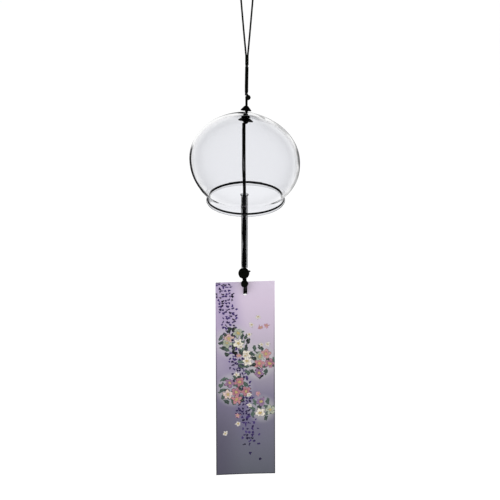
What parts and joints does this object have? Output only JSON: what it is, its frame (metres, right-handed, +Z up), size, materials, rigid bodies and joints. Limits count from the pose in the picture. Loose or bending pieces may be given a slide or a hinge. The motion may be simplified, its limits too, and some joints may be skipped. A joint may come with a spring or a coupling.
{
  "type": "furin wind bell",
  "caption": "Clear blown-glass wind bell on a doubled black cord, with a glass clapper tube that strikes the rim and a printed paper strip that catches the wind.",
  "frame": {"origin": "on the hook's axis, in the middle of the hanging loop's bight", "axes": "+Z up, +X to the right seen from the front of the strip, +Y to the back, along the hook"},
  "size_m": [0.0788, 0.0788, 0.3881],
  "materials": {
    "cord": "black twisted cord",
    "cap": "black, smooth",
    "washer": "dark grey, matt",
    "bell_glass": "clear, polished",
    "tube_glass": "clear, polished",
    "paper": "printed card, lilac at the top to slate at the bottom"
  },
  "bodies": {
    "hanger": {"hanging_bight": "cord"},
    "loop": {"loop_strand_left": "cord", "loop_strand_right": "cord"},
    "neck": {"neck_cord": "cord", "top_knot": "cord"},
    "crown": {"outer_cap": "cap"},
    "bell": {"glass_bell": "bell_glass"},
    "swivel": {"inner_washer": "washer", "inner_cap": "cap", "bearing_knot": "cord"},
    "clapper": {"clapper_cord": "cord", "ball_knot": "cord"},
    "tube": {"clapper_tube": "tube_glass"},
    "strip_swivel": {"strip_knot": "cord"},
    "strip": {"strip_loop": "cord", "wind_strip": "paper"}
  },
  "joints": [
    {"name": "loop_swing", "type": "hinge", "parent": "hanger", "child": "loop", "pos_m": [0, 0, 0], "axis": [1, 0, 0], "range_deg": [-25, 25]},
    {"name": "neck_swing", "type": "hinge", "parent": "loop", "child": "neck", "pos_m": [0, 0, -0.0546], "axis": [0, 1, 0], "range_deg": [-25, 25]},
    {"name": "crown_turn", "type": "hinge", "parent": "neck", "child": "crown", "pos_m": [0, 0, -0.096], "axis": [0, 0, 1], "continuous": true},
    {"name": "bell_rock", "type": "hinge", "parent": "crown", "child": "bell", "pos_m": [0, 0, -0.1004], "axis": [1, 0, 0], "range_deg": [-6, 6]},
    {"name": "clapper_turn", "type": "hinge", "parent": "bell", "child": "swivel", "pos_m": [0, 0, -0.1025], "axis": [0, 0, 1], "continuous": true},
    {"name": "clapper_swing", "type": "hinge", "parent": "swivel", "child": "clapper", "pos_m": [0, 0, -0.10595], "axis": [1, 0, 0], "range_deg": [-20.9, 20.9]},
    {"name": "tube_slide", "type": "slide", "parent": "clapper", "child": "tube", "axis": [0, 0, 1], "range_m": [0, 0.05]},
    {"name": "strip_turn", "type": "hinge", "parent": "clapper", "child": "strip_swivel", "pos_m": [0, 0, -0.2295], "axis": [0, 0, 1], "continuous": true},
    {"name": "strip_swing", "type": "hinge", "parent": "strip_swivel", "child": "strip", "pos_m": [0, 0, -0.2329], "axis": [0.9969, 0.0785, 0], "range_deg": [-45, 45]}
  ]
}
